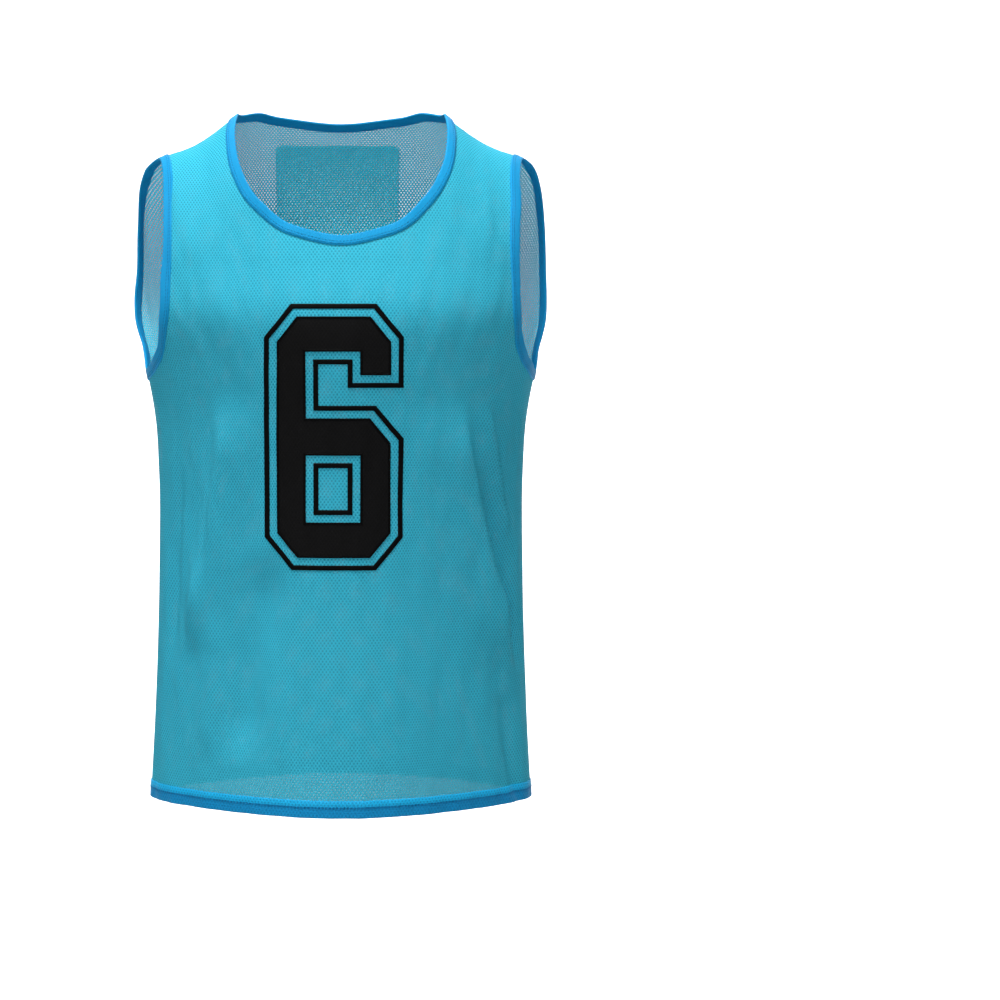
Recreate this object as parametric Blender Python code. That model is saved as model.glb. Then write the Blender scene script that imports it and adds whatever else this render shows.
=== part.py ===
# Mesh training bib, filled out as on a wearer: two net panels, bound neck and armholes, a turned hem.
# Metres, +Z up, the front faces -Y and +X is on the right of someone who looks at the front.
# The origin is midway between the neck ends of the two shoulder seams.

import math

import bpy
import numpy as np


def table(names, *rows):
    """A table whose columns are read by name."""
    return np.array(list(rows), dtype=[(name, float) for name in names.split()])


# Driving dimensions
body_length = 0.681          # neck end of a shoulder seam down to the hem
panel_wall = 0.0012
trim_wall = 0.0024
neck_trim_width = 0.009
armhole_trim_width = 0.009
hem_width = 0.017
seam_gap = 0.0003            # pieces lie this far apart at a seam
shoulder_roll = 0.12         # drop over which the cloth rolls from the shoulder seam to upright
shoulder_reach = 0.205       # half the breadth of the shoulder line at the side of the body

# Patch inside the back, below the neck
patch_half_width = 0.062
patch_top = 0.024            # below the origin
patch_bottom = 0.155
patch_wall = 0.0010

# Sections of the body, from the neck down. Squareness turns the oval to a box above 0, to a lens below 0.
sections = table(
    "height half_width front_depth back_depth squareness",
    (0.000, 0.1980, 0.085, 0.085, 0.03),
    (-0.050, 0.2040, 0.090, 0.105, 0.03),
    (-0.100, 0.2122, 0.097, 0.118, 0.03),
    (-0.150, 0.2145, 0.112, 0.124, 0.02),
    (-0.200, 0.2124, 0.126, 0.126, 0.01),
    (-0.250, 0.1945, 0.124, 0.122, 0.00),
    (-0.297, 0.1852, 0.118, 0.118, -0.01),
    (-0.357, 0.1813, 0.113, 0.112, -0.02),
    (-0.447, 0.1815, 0.110, 0.109, -0.03),
    (-0.587, 0.1860, 0.114, 0.113, -0.04),
    (-0.681, 0.1911, 0.120, 0.118, -0.05))

# Line of the shoulder seams, carried on across the neck and out past the arm
shoulder_line = table(
    "out height",
    (0.0000, 0.0270),
    (0.0040, 0.0270),
    (0.0450, 0.0240),
    (0.0720, 0.0150),
    (0.0947, -0.0006),
    (0.1125, -0.0154),
    (0.1395, -0.0329),
    (0.1775, -0.0452),
    (0.2050, -0.0580))

# Edges of the openings: angle round the body from its middle, and drop below the shoulder line
front_neck = table(
    "angle drop",
    (27.8, 0.0000), (27.6, 0.0825), (24.3, 0.1395), (18.45, 0.1810), (10.4, 0.2110), (0.0, 0.2216))
back_neck = table(
    "angle drop",
    (27.8, 0.0000), (26.7, 0.0220), (21.5, 0.0485), (15.9, 0.0713), (7.85, 0.0851), (0.0, 0.0890))
front_armhole = table(
    "angle drop",
    (60.5, 0.0000), (58.4, 0.0290), (53.6, 0.0817), (50.6, 0.1352), (51.3, 0.1866),
    (54.2, 0.2300), (61.2, 0.2521), (74.0, 0.2624), (90.0, 0.2643))
back_armhole = table(
    "angle drop",
    (60.5, 0.0000), (64.0, 0.0120), (68.3, 0.0266), (72.1, 0.0568), (72.5, 0.1160),
    (73.5, 0.1778), (76.0, 0.2135), (81.0, 0.2436), (90.0, 0.2643))

# Largest folds: side is 1 on the front and -1 on the back, angle from the middle, width and rise of the ridge
folds = table(
    "side top_angle top_height low_angle low_height width rise",
    (1, 34.0, -0.270, 68.0, -0.560, 0.022, 0.0050),
    (1, 52.0, -0.330, 76.0, -0.560, 0.024, -0.0030),
    (1, -34.0, -0.270, -56.0, -0.540, 0.022, 0.0045),
    (1, -25.0, -0.420, -38.0, -0.640, 0.024, -0.0035),
    (-1, -19.0, -0.230, -54.0, -0.640, 0.022, 0.0050),
    (-1, -37.0, -0.300, -66.0, -0.600, 0.024, -0.0040),
    (-1, 27.0, -0.430, 44.0, -0.720, 0.024, 0.0045),
    (-1, -46.0, -0.240, -58.0, -0.420, 0.020, 0.0035))
fold_end = 0.25              # share of a fold's length over which each end fades
side_fade = 0.35             # cosine of the angle inside which folds fade towards the side seam

# Grid of one panel
shoulder_steps = 5
neck_steps = 26
armhole_steps = 12
side_steps = 12
edge_pull = 3                # how fast the pull of a side edge on the rows fades inwards
side_depth = 0.11            # turns the seam gap into an angle at the side
roll_per_depth = 2.4         # turns the seam gap into a drop at the shoulder seam
fine_step = 1e-4
path_samples = 600           # places looked at to space a path evenly
fold_crown = 0.85            # height of a trim's rounded edge, as a share of its half thickness
sharp_angle = 50             # degrees between two faces that are shaded as an edge
net_roughness, trim_roughness = 0.75, 0.70


def smooth(at, known, values):
    """Smooth curve through the known values, a cubic between each two, held level past both ends."""
    order = np.argsort(known)
    known, values = known[order], values[order]
    at = np.clip(at, known[0], known[-1])
    slope = np.gradient(values, known)
    low = np.clip(np.searchsorted(known, at) - 1, 0, len(known) - 2)
    span = known[low + 1] - known[low]
    t = (at - known[low]) / span
    start = (1 + 2 * t) * (1 - t) ** 2 * values[low] + t * (1 - t) ** 2 * span * slope[low]
    end = t ** 2 * (3 - 2 * t) * values[low + 1] - t ** 2 * (1 - t) * span * slope[low + 1]
    return start + end


def sideways(angle, squareness):
    return (np.sin(angle) + squareness * np.sin(3 * angle)) / (1 - squareness)


def forwards(angle, squareness):
    return (np.cos(angle) - squareness * np.cos(3 * angle)) / (1 - squareness)


def line_height(angle):
    """Height of the shoulder line above a place on the body."""
    return smooth(np.abs(shoulder_reach * np.sin(angle)), shoulder_line["out"], shoulder_line["height"])


def drop_at(angle, height):
    """Drop below the shoulder line of a height on the upright part of the body."""
    return line_height(angle) - height + shoulder_roll * (math.pi / 2 - 1)


def fold_rise(angle, height, side):
    """How far the folds push the cloth out, as soft ridges along sloping lines."""
    rise = np.zeros_like(height)
    for fold in folds:
        along = (fold["top_height"] - height) / (fold["top_height"] - fold["low_height"])
        middle = np.radians(fold["top_angle"] + (fold["low_angle"] - fold["top_angle"]) * along)
        across = (angle - middle) * smooth(height, sections["height"], sections["half_width"])
        ends = np.clip(np.minimum(along, 1 - along) / fold_end, 0, 1)
        ends = ends ** 2 * (3 - 2 * ends)
        ridge = fold["rise"] * ends * np.exp(-(across / fold["width"]) ** 2)
        rise += np.where(side == fold["side"], ridge, 0)
    return rise * np.clip(np.cos(angle) / side_fade, 0, 1)


def form(angle, drop):
    """Point of the cloth at an angle from the middle and a drop below the shoulder line.

    The drop is negative on the back.
    """
    angle, drop = np.broadcast_arrays(np.asarray(angle, float), np.asarray(drop, float))
    side = np.where(drop >= 0, 1, -1)
    down = np.abs(drop)
    roll = np.minimum(down / shoulder_roll, math.pi / 2)
    curved = shoulder_roll * (1 - np.cos(roll))
    straight = down - shoulder_roll * roll
    height = line_height(angle) - curved - straight
    half_width = smooth(height, sections["height"], sections["half_width"])
    squareness = smooth(height, sections["height"], sections["squareness"])
    depth = np.where(side > 0,
                     smooth(height, sections["height"], sections["front_depth"]),
                     smooth(height, sections["height"], sections["back_depth"]))
    swell = 1 + fold_rise(angle, height, side) / depth
    x = half_width * sideways(angle, squareness) * swell
    y = -side * depth * forwards(angle, squareness) * np.sin(roll) * swell
    return np.stack([x, y, height], -1)


def slopes(angle, drop):
    """How the form moves with the angle and with the drop."""
    by_angle = (form(angle + fine_step, drop) - form(angle - fine_step, drop)) / (2 * fine_step)
    by_drop = (form(angle, drop + fine_step) - form(angle, drop - fine_step)) / (2 * fine_step)
    return by_angle, by_drop


def outward(angle, drop):
    by_angle, by_drop = slopes(angle, drop)
    normal = np.cross(by_drop, by_angle)
    return normal / np.linalg.norm(normal, axis=-1, keepdims=True)


def spread(angle, drop, steps):
    """A smooth path through a few places of the form, with its points evenly far apart."""
    chord = np.append(0, np.cumsum(np.hypot(np.diff(angle) * shoulder_roll, np.diff(drop))))
    fine = np.linspace(0, chord[-1], path_samples)
    angles, drops = smooth(fine, chord, angle), smooth(fine, chord, drop)
    points = form(angles, drops)
    length = np.append(0, np.cumsum(np.linalg.norm(np.diff(points, axis=0), axis=1)))
    even = np.linspace(0, length[-1], steps + 1)
    return np.interp(even, length, angles), np.interp(even, length, drops)


def inset(path, centre, distance, passes=3):
    """The path moved along the cloth, square to itself and away from the centre of its opening."""
    angle, drop = (np.array(values) for values in path)
    at_side, at_shoulder = np.isclose(np.abs(angle), math.pi / 2), np.isclose(drop, 0)
    for _ in range(passes):
        by_angle, by_drop = slopes(angle, drop)
        points = form(angle, drop)
        tangent = np.gradient(points, axis=0)
        square = np.cross(outward(angle, drop), tangent)
        square /= np.linalg.norm(square, axis=1, keepdims=True)
        aa = (by_angle ** 2).sum(1)
        dd = (by_drop ** 2).sum(1)
        ad = (by_angle * by_drop).sum(1)
        sa = (square * by_angle).sum(1)
        sd = (square * by_drop).sum(1)
        whole = aa * dd - ad ** 2
        turn, fall = (sa * dd - sd * ad) / whole, (sd * aa - sa * ad) / whole
        turn = np.where(at_side, 0, turn)
        fall = np.where(at_side, np.sign(fall) / np.sqrt(dd), fall)
        fall = np.where(at_shoulder, 0, fall)
        turn = np.where(at_shoulder, np.sign(turn) / np.sqrt(aa), turn)
        away = np.sign(turn * (angle - centre[0]) + fall * (drop - centre[1]) * 4)
        angle = angle + away * turn * distance / passes
        drop = drop + away * fall * distance / passes
    return angle, drop


def neck_half(edge, side):
    """From one shoulder seam across the middle to the other, the same on both sides."""
    angle, drop = np.radians(edge["angle"]), side * edge["drop"]
    return spread(np.append(angle, -angle[-2::-1]), np.append(drop, drop[-2::-1]), neck_steps)


def neck_path():
    """Round the neck from one shoulder seam over the front to the other, and back behind."""
    front, back = neck_half(front_neck, 1), neck_half(back_neck, -1)
    return np.append(front[0], -back[0][1:-1]), np.append(front[1], back[1][1:-1])


def armhole_path():
    """Up the front edge from the foot of the armhole, over the shoulder seam and down the back edge."""
    front, back = (spread(np.radians(edge["angle"]), side * edge["drop"], armhole_steps)
                   for edge, side in ((front_armhole, 1), (back_armhole, -1)))
    return tuple(np.append(up[::-1], down[1:]) for up, down in zip(front, back))


def closed_inset(path, centre, distance):
    """Moves a path that closes on itself, with a few of its own points carried past each end."""
    wrap = 3
    longer = tuple(np.concatenate([values[-wrap:], values, values[:wrap]]) for values in path)
    return tuple(values[wrap:-wrap] for values in inset(longer, centre, distance))


def mix(start, end, share):
    return start * (1 - share) + end * share


def panel_grid(side):
    """Places of one panel: columns run from the hem up to the neck, rows from one side edge to the other.

    A side edge is the side seam, then the armhole, then the shoulder seam. Its pull on the rows fades inwards.
    """
    half_gap = seam_gap / 2
    side_limit = math.pi / 2 - half_gap / side_depth
    seam_drop = half_gap * roll_per_depth
    arm = inset(armhole_path(), (math.pi / 2, 0), armhole_trim_width + seam_gap)
    neck = closed_inset(neck_path(), (0, 0), neck_trim_width + seam_gap)
    if side > 0:
        arm = [values[:armhole_steps + 1] for values in arm]
        neck = [values[:neck_steps + 1][::-1] for values in neck]
    else:
        arm = [values[:armhole_steps - 1:-1] for values in arm]
        neck = [np.append(values[neck_steps:], values[0]) for values in neck]
    hem_height = -body_length + hem_width + seam_gap
    heights = np.linspace(hem_height, form(arm[0][0], arm[1][0])[2], side_steps + 1)[:-1]
    seam = np.full(side_steps, math.pi / 2), side * drop_at(math.pi / 2, heights)
    shoulder = np.linspace(arm[0][-1], neck[0][-1], shoulder_steps + 1)[1:], np.zeros(shoulder_steps)
    edge = [np.concatenate(parts) for parts in zip(seam, arm, shoulder)]
    low = np.linspace(-math.pi / 2, math.pi / 2, neck_steps + 1)
    hem = low, side * drop_at(low, hem_height)
    u = np.linspace(0, 1, neck_steps + 1)[None, :]
    v = np.linspace(0, 1, len(edge[0]))[:, None]
    angle, drop = (
        mix(hem[k], neck[k], v)
        + (1 - u) ** edge_pull * (mirror * edge[k][:, None] - mix(hem[k][0], neck[k][0], v))
        + u ** edge_pull * (edge[k][:, None] - mix(hem[k][-1], neck[k][-1], v))
        for k, mirror in ((0, -1), (1, 1)))
    angle = np.clip(angle, -side_limit, side_limit)
    drop = np.maximum(drop, seam_drop) if side > 0 else np.minimum(drop, -seam_drop)
    return angle, drop


def make_object(name, points, faces, colour, roughness):
    mesh = bpy.data.meshes.new(name)
    mesh.from_pydata([tuple(point) for point in points], [], faces)
    mesh.shade_smooth()
    mesh.set_sharp_from_angle(angle=math.radians(sharp_angle))
    material = bpy.data.materials.new(name)
    material.use_nodes = True
    shader = material.node_tree.nodes["Principled BSDF"]
    shader.inputs["Base Color"].default_value = (*colour, 1)
    shader.inputs["Roughness"].default_value = roughness
    mesh.materials.append(material)
    body = bpy.data.objects.new(name, mesh)
    bpy.context.scene.collection.objects.link(body)
    return body


def wall(name, angle, drop, middle, thickness, flip, colour):
    """A sheet of the form with its outer and inner faces, and a strip that closes its border."""
    points, normals = form(angle, drop), outward(angle, drop)
    outer = points + normals * (middle + thickness / 2)
    inner = points + normals * (middle - thickness / 2)
    rows, columns = angle.shape
    index = np.arange(rows * columns).reshape(rows, columns)
    a, b = index[:-1, :-1].ravel(), index[:-1, 1:].ravel()
    c, d = index[1:, 1:].ravel(), index[1:, :-1].ravel()
    halves = np.concatenate([np.stack([a, b, c], -1), np.stack([a, c, d], -1)])
    border = np.concatenate([index[0, :], index[1:, -1], index[-1, -2::-1], index[-2:0:-1, 0]])
    ahead = np.roll(border, -1)
    behind = rows * columns
    strip = np.stack([border, border + behind, ahead + behind, ahead], -1)
    turn = -1 if flip else 1
    faces = [face[::turn] for face in halves.tolist() + (halves[:, ::-1] + behind).tolist() + strip.tolist()]
    both = np.concatenate([outer.reshape(-1, 3), inner.reshape(-1, 3)])
    return make_object(name, both, faces, colour, net_roughness)


def ring(name, rails, colour):
    """A closed trim: rails of points, in order round its profile, joined along the opening."""
    rails = np.array(rails)
    count, stations = rails.shape[:2]
    index = np.arange(count * stations).reshape(count, stations)
    ahead = np.roll(index, -1, axis=1)
    beside = np.roll(index, -1, axis=0)
    corner = np.roll(beside, -1, axis=1)
    faces = np.stack([index, ahead, corner, beside], -1).reshape(-1, 4)
    points = rails.reshape(-1, 3)
    corners = points[faces]
    volume = np.einsum("ij,ij->i", corners[:, 0], np.cross(corners[:, 1], corners[:, 2])).sum()
    volume += np.einsum("ij,ij->i", corners[:, 0], np.cross(corners[:, 2], corners[:, 3])).sum()
    if volume < 0:
        faces = faces[:, ::-1]
    return make_object(name, points, faces.tolist(), colour, trim_roughness)


def trim_profile(width):
    """Distance from the free edge and from the middle of the cloth: a fold round the edge, then flat."""
    half, fold = trim_wall / 2, trim_wall / 3
    crown = half * fold_crown
    return ((0, 0), (fold, crown), (width, half), (width, -half), (fold, -crown))


def trim(name, path, centre, width, closed, colour):
    mover = closed_inset if closed else inset
    rails = []
    for across, rise in trim_profile(width):
        angle, drop = mover(path, centre, across)
        rail = form(angle, drop) + outward(angle, drop) * rise
        rails.append(rail if closed else rail[:-1])
    return ring(name, rails, colour)


def hem_band(colour):
    columns = neck_steps + 1
    across_front = np.linspace(-math.pi / 2, math.pi / 2, columns)
    angle = np.append(across_front, across_front[-2:0:-1])
    side = np.append(np.ones(columns), -np.ones(columns - 2))
    rails = []
    for across, rise in trim_profile(hem_width):
        drop = side * drop_at(angle, -body_length + across)
        rails.append(form(angle, drop) + outward(angle, drop) * rise)
    return ring("hem_band", rails, colour)


def inner_patch(angle, drop, colour):
    """The patch follows the back panel's own points, moved in past the panel's wall."""
    points = form(angle, drop)
    centre = points[:, points.shape[1] // 2, 2]
    rows = np.where((centre <= -patch_top) & (centre >= -patch_bottom))[0]
    middle_row = points[rows[len(rows) // 2], :, 0]
    columns = np.where(np.abs(middle_row) <= patch_half_width)[0]
    part = np.ix_(rows, columns)
    middle = -(panel_wall / 2 + seam_gap + patch_wall / 2)
    return wall("inner_back_patch", angle[part], drop[part], middle, patch_wall, True, colour)


def mirrored(path):
    return -path[0], path[1]


def main():
    for item in list(bpy.data.objects):
        bpy.data.objects.remove(item)
    net, trim_blue, patch_blue = (0.10, 0.46, 0.66), (0.012, 0.28, 0.50), (0.13, 0.50, 0.70)
    front, back = panel_grid(1), panel_grid(-1)
    wall("front_panel", *front, 0, panel_wall, False, net)
    wall("back_panel", *back, 0, panel_wall, True, net)
    trim("neck_binding", neck_path(), (0, 0), neck_trim_width, True, trim_blue)
    arm, centre = armhole_path(), (math.pi / 2, 0)
    trim("armhole_binding_right", arm, centre, armhole_trim_width, False, trim_blue)
    trim("armhole_binding_left", mirrored(arm), (-centre[0], 0), armhole_trim_width, False, trim_blue)
    hem_band(trim_blue)
    inner_patch(*back, patch_blue)


main()
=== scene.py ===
import math

import bpy
import numpy as np
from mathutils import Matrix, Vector


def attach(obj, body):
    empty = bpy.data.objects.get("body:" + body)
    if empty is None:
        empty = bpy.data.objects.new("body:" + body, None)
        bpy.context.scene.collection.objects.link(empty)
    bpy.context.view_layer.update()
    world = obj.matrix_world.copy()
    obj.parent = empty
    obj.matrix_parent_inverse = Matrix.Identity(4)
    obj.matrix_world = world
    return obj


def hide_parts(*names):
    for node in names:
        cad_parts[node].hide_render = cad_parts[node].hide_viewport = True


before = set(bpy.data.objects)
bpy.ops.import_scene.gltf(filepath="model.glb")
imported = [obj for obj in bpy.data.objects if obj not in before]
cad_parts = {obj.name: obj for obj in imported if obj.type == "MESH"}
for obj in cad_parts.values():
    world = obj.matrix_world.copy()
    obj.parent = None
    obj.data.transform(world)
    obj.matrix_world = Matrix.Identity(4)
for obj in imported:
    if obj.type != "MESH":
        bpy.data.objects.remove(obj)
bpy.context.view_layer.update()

print("frame loaded")


# Tables: a row for each section, edge place or fold, its columns read by name
def table(names, *rows):
    return np.array(list(rows), dtype=[(name, float) for name in names.split()])


# The body that the bib hangs as, in the frame's own sizes
body = {
    "length": 0.681,
    "shoulderRoll": 0.12,     # drop over which the cloth rolls from the shoulder seam to upright
    "shoulderReach": 0.205,
    "neckWidth": 0.009,
    "armholeWidth": 0.009,
    "hemWidth": 0.017,
    "sections": table(
        "height halfWidth frontDepth backDepth squareness",
        (0.000, 0.1980, 0.085, 0.085, 0.03),
        (-0.050, 0.2040, 0.090, 0.105, 0.03),
        (-0.100, 0.2122, 0.097, 0.118, 0.03),
        (-0.150, 0.2145, 0.112, 0.124, 0.02),
        (-0.200, 0.2124, 0.126, 0.126, 0.01),
        (-0.250, 0.1945, 0.124, 0.122, 0.00),
        (-0.297, 0.1852, 0.118, 0.118, -0.01),
        (-0.357, 0.1813, 0.113, 0.112, -0.02),
        (-0.447, 0.1815, 0.110, 0.109, -0.03),
        (-0.587, 0.1860, 0.114, 0.113, -0.04),
        (-0.681, 0.1911, 0.120, 0.118, -0.05)),
    "shoulderLine": table(
        "out height",
        (0.0000, 0.0270), (0.0040, 0.0270), (0.0450, 0.0240), (0.0720, 0.0150), (0.0947, -0.0006),
        (0.1125, -0.0154), (0.1395, -0.0329), (0.1775, -0.0452), (0.2050, -0.0580)),
}

# Edges of the openings: angle from the middle and drop below the shoulder line
edges = {
    "frontNeck": table(
        "angle drop",
        (27.8, 0.0000), (27.6, 0.0825), (24.3, 0.1395), (18.45, 0.1810), (10.4, 0.2110), (0.0, 0.2216)),
    "backNeck": table(
        "angle drop",
        (27.8, 0.0000), (26.7, 0.0220), (21.5, 0.0485), (15.9, 0.0713), (7.85, 0.0851), (0.0, 0.0890)),
    "frontArmhole": table(
        "angle drop",
        (60.5, 0.0000), (58.4, 0.0290), (53.6, 0.0817), (50.6, 0.1352), (51.3, 0.1866),
        (54.2, 0.2300), (61.2, 0.2521), (74.0, 0.2624), (90.0, 0.2643)),
    "backArmhole": table(
        "angle drop",
        (60.5, 0.0000), (64.0, 0.0120), (68.3, 0.0266), (72.1, 0.0568), (72.5, 0.1160),
        (73.5, 0.1778), (76.0, 0.2135), (81.0, 0.2436), (90.0, 0.2643)),
}

# Creases, wide ones first: side is 1 on the front and -1 on the back, skew steepens the far flank
creases = {
    "gain": 1.9,
    "endFade": 0.25,
    "sideFade": 0.35,
    "rows": table(
        "side topAngle topHeight lowAngle lowHeight width rise skew",
        (1, 34.0, -0.270, 68.0, -0.560, 0.022, 0.0050, 0.5),
        (1, 52.0, -0.330, 76.0, -0.560, 0.024, -0.0030, 0.0),
        (1, -34.0, -0.270, -56.0, -0.540, 0.022, 0.0045, -0.3),
        (1, -25.0, -0.420, -38.0, -0.640, 0.024, -0.0035, 0.0),
        (-1, -19.0, -0.230, -54.0, -0.640, 0.022, 0.0050, -0.5),
        (-1, -37.0, -0.300, -66.0, -0.600, 0.024, -0.0040, 0.0),
        (-1, 27.0, -0.430, 44.0, -0.720, 0.024, 0.0045, 0.3),
        (-1, -46.0, -0.240, -58.0, -0.420, 0.020, 0.0035, 0.0),
        # finer ones
        (1, 46.0, -0.270, 70.0, -0.430, 0.010, 0.0022, 0.4),
        (1, 41.0, -0.300, 60.0, -0.480, 0.009, -0.0016, 0.0),
        (1, -41.0, -0.300, -51.0, -0.470, 0.008, -0.0018, 0.0),
        (1, -44.0, -0.480, -49.0, -0.640, 0.014, 0.0016, 0.0),
        (1, 62.0, -0.560, 70.0, -0.690, 0.012, -0.0016, 0.0),
        (1, -62.0, -0.330, -70.0, -0.560, 0.010, -0.0016, 0.0),
        (-1, -27.0, -0.290, -52.0, -0.560, 0.009, -0.0022, -0.4),
        (-1, 0.5, -0.240, 0.5, -0.560, 0.010, 0.0012, 0.0),
        (-1, 36.0, -0.300, 40.0, -0.560, 0.012, -0.0016, 0.0),
        (-1, -50.0, -0.560, -60.0, -0.700, 0.012, 0.0018, 0.0),
        (-1, -44.0, -0.560, -50.0, -0.700, 0.010, -0.0014, 0.0),
        (-1, 56.0, -0.260, 64.0, -0.480, 0.012, 0.0018, 0.0),
        (-1, 60.0, -0.500, 66.0, -0.700, 0.014, -0.0014, 0.0)),
}


# Smooth curve through known values: a cubic between each two, level past both ends
def smooth(at, known, values):
    order = np.argsort(known)
    known, values = known[order], values[order]
    at = np.clip(at, known[0], known[-1])
    slope = np.gradient(values, known)
    low = np.clip(np.searchsorted(known, at) - 1, 0, len(known) - 2)
    span = known[low + 1] - known[low]
    t = (at - known[low]) / span
    start = (1 + 2 * t) * (1 - t) ** 2 * values[low] + t * (1 - t) ** 2 * span * slope[low]
    end = t ** 2 * (3 - 2 * t) * values[low + 1] - t ** 2 * (1 - t) * span * slope[low + 1]
    return start + end


# One column of the body's sections at any height, smooth between its rows
def section(height, column):
    return smooth(height, body["sections"]["height"], body["sections"][column])


# Sideways share of a section: sine of the angle, plus its third harmonic for squareness
def sideways(angle, squareness):
    return (np.sin(angle) + squareness * np.sin(3 * angle)) / (1 - squareness)


# Forward share of a section: cosine of the angle, less its third harmonic
def forwards(angle, squareness):
    return (np.cos(angle) - squareness * np.cos(3 * angle)) / (1 - squareness)


# Height of the shoulder line over an angle, read at the sideways place of that angle
def lineHeight(angle):
    line = body["shoulderLine"]
    return smooth(np.abs(body["shoulderReach"] * np.sin(angle)), line["out"], line["height"])


# Drop of a height below the roll: the fall from the shoulder line, and the roll's extra length
def dropAt(angle, height):
    return lineHeight(angle) - height + body["shoulderRoll"] * (math.pi / 2 - 1)


# Creases: bell-shaped ridges along sloping lines, soft at both ends, less near the side seam
def creaseRise(angle, height, side):
    rise = np.zeros_like(height)
    width = section(height, "halfWidth")
    for row in creases["rows"]:
        along = (row["topHeight"] - height) / (row["topHeight"] - row["lowHeight"])
        middle = np.radians(row["topAngle"] + (row["lowAngle"] - row["topAngle"]) * along)
        across = (angle - middle) * width / row["width"]
        across = across * (1 + row["skew"] * np.tanh(across))
        ends = np.clip(np.minimum(along, 1 - along) / creases["endFade"], 0, 1)
        ridge = creases["gain"] * row["rise"] * ends ** 2 * (3 - 2 * ends) * np.exp(-across ** 2)
        rise += np.where(side == row["side"], ridge, 0)
    return rise * np.clip(np.cos(angle) / creases["sideFade"], 0, 1)


# Slack of thin cloth: a few long waves crossed by others, each under a millimetre high
slackWaves = table(
    "rise turn fall side crossFall crossTurn crossSide crossStart",
    (0.00055, 17, 31, 1.3, 9, 2, 1, 0),
    (0.00035, 31, -23, 0.7, 27, 0, 0, 1.1),
    (0.00020, 53, 44, 0.0, 61, -12, 1, 0))


# Sum of the waves: rise times a sine of angle and height, times a sine across it
def slack(angle, height, side):
    wave = np.zeros_like(height)
    for row in slackWaves:
        long = np.sin(row["turn"] * angle + row["fall"] * height + row["side"] * side)
        cross = row["crossFall"] * height + row["crossTurn"] * angle + row["crossSide"] * side
        wave += row["rise"] * long * np.sin(cross + row["crossStart"])
    return wave * np.clip(np.cos(angle) / creases["sideFade"], 0, 1)


# The cloth: a quarter roll from the shoulder line, then upright sections, swollen by the creases.
# The drop is negative on the back.
def form(angle, drop):
    angle, drop = np.broadcast_arrays(np.asarray(angle, float), np.asarray(drop, float))
    side = np.where(drop >= 0, 1, -1)
    down = np.abs(drop)
    radius = body["shoulderRoll"]
    roll = np.minimum(down / radius, math.pi / 2)
    height = lineHeight(angle) - radius * (1 - np.cos(roll)) - (down - radius * roll)
    squareness = section(height, "squareness")
    depth = np.where(side > 0, section(height, "frontDepth"), section(height, "backDepth"))
    swell = 1 + (creaseRise(angle, height, side) + slack(angle, height, side)) / depth
    x = section(height, "halfWidth") * sideways(angle, squareness) * swell
    y = -side * depth * forwards(angle, squareness) * np.sin(roll) * swell
    return np.stack([x, y, height], -1)


# How the cloth's place changes with angle and with drop, by central differences
def slopes(angle, drop, step=1e-4):
    byAngle = (form(angle + step, drop) - form(angle - step, drop)) / (2 * step)
    byDrop = (form(angle, drop + step) - form(angle, drop - step)) / (2 * step)
    return byAngle, byDrop


# Unit normal out of the bib: the two slopes' cross product
def outward(angle, drop):
    byAngle, byDrop = slopes(angle, drop)
    normal = np.cross(byDrop, byAngle)
    return normal / np.linalg.norm(normal, axis=-1, keepdims=True)


# Length of a path up to each of its points: the running sum of its chords
def lengthsAlong(points):
    return np.append(0, np.cumsum(np.linalg.norm(np.diff(points, axis=0), axis=1)))


# A smooth path through a few places, with its points evenly far apart on the cloth
def spread(angle, drop, steps, fineSteps=1200):
    chord = np.append(0, np.cumsum(np.hypot(np.diff(angle) * body["shoulderRoll"], np.diff(drop))))
    fine = np.linspace(0, chord[-1], fineSteps)
    angles, drops = smooth(fine, chord, angle), smooth(fine, chord, drop)
    length = lengthsAlong(form(angles, drops))
    even = np.linspace(0, length[-1], steps + 1)
    return np.interp(even, length, angles), np.interp(even, length, drops)


# The path moved along the cloth, square to itself and away from the centre of its opening
def inset(path, centre, distance, passes=3, dropWeight=4):
    angle, drop = (np.array(values) for values in path)
    atSide, atShoulder = np.isclose(np.abs(angle), math.pi / 2), np.isclose(drop, 0)
    for _ in range(passes):
        byAngle, byDrop = slopes(angle, drop)
        square = np.cross(outward(angle, drop), np.gradient(form(angle, drop), axis=0))
        square /= np.linalg.norm(square, axis=1, keepdims=True)
        aa, dd, ad = (byAngle ** 2).sum(1), (byDrop ** 2).sum(1), (byAngle * byDrop).sum(1)
        sa, sd = (square * byAngle).sum(1), (square * byDrop).sum(1)
        turn = (sa * dd - sd * ad) / (aa * dd - ad ** 2)
        fall = (sd * aa - sa * ad) / (aa * dd - ad ** 2)
        turn = np.where(atSide, 0, np.where(atShoulder, np.sign(turn) / np.sqrt(aa), turn))
        fall = np.where(atShoulder, 0, np.where(atSide, np.sign(fall) / np.sqrt(dd), fall))
        away = np.sign(turn * (angle - centre[0]) + fall * (drop - centre[1]) * dropWeight)
        angle = angle + away * turn * distance / passes
        drop = drop + away * fall * distance / passes
    return angle, drop


# The same for a closed path, run on past both ends so that the join is as smooth as the rest
def closedInset(path, centre, distance, wrap=3):
    longer = tuple(np.concatenate([values[-wrap:], values, values[:wrap]]) for values in path)
    return tuple(values[wrap:-wrap] for values in inset(longer, centre, distance))


# One half of the neck's edge, from shoulder to shoulder: the table's places, then their mirror image
def neckHalf(name, side, steps):
    angle, drop = np.radians(edges[name]["angle"]), side * edges[name]["drop"]
    return spread(np.append(angle, -angle[-2::-1]), np.append(drop, drop[-2::-1]), steps)


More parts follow.
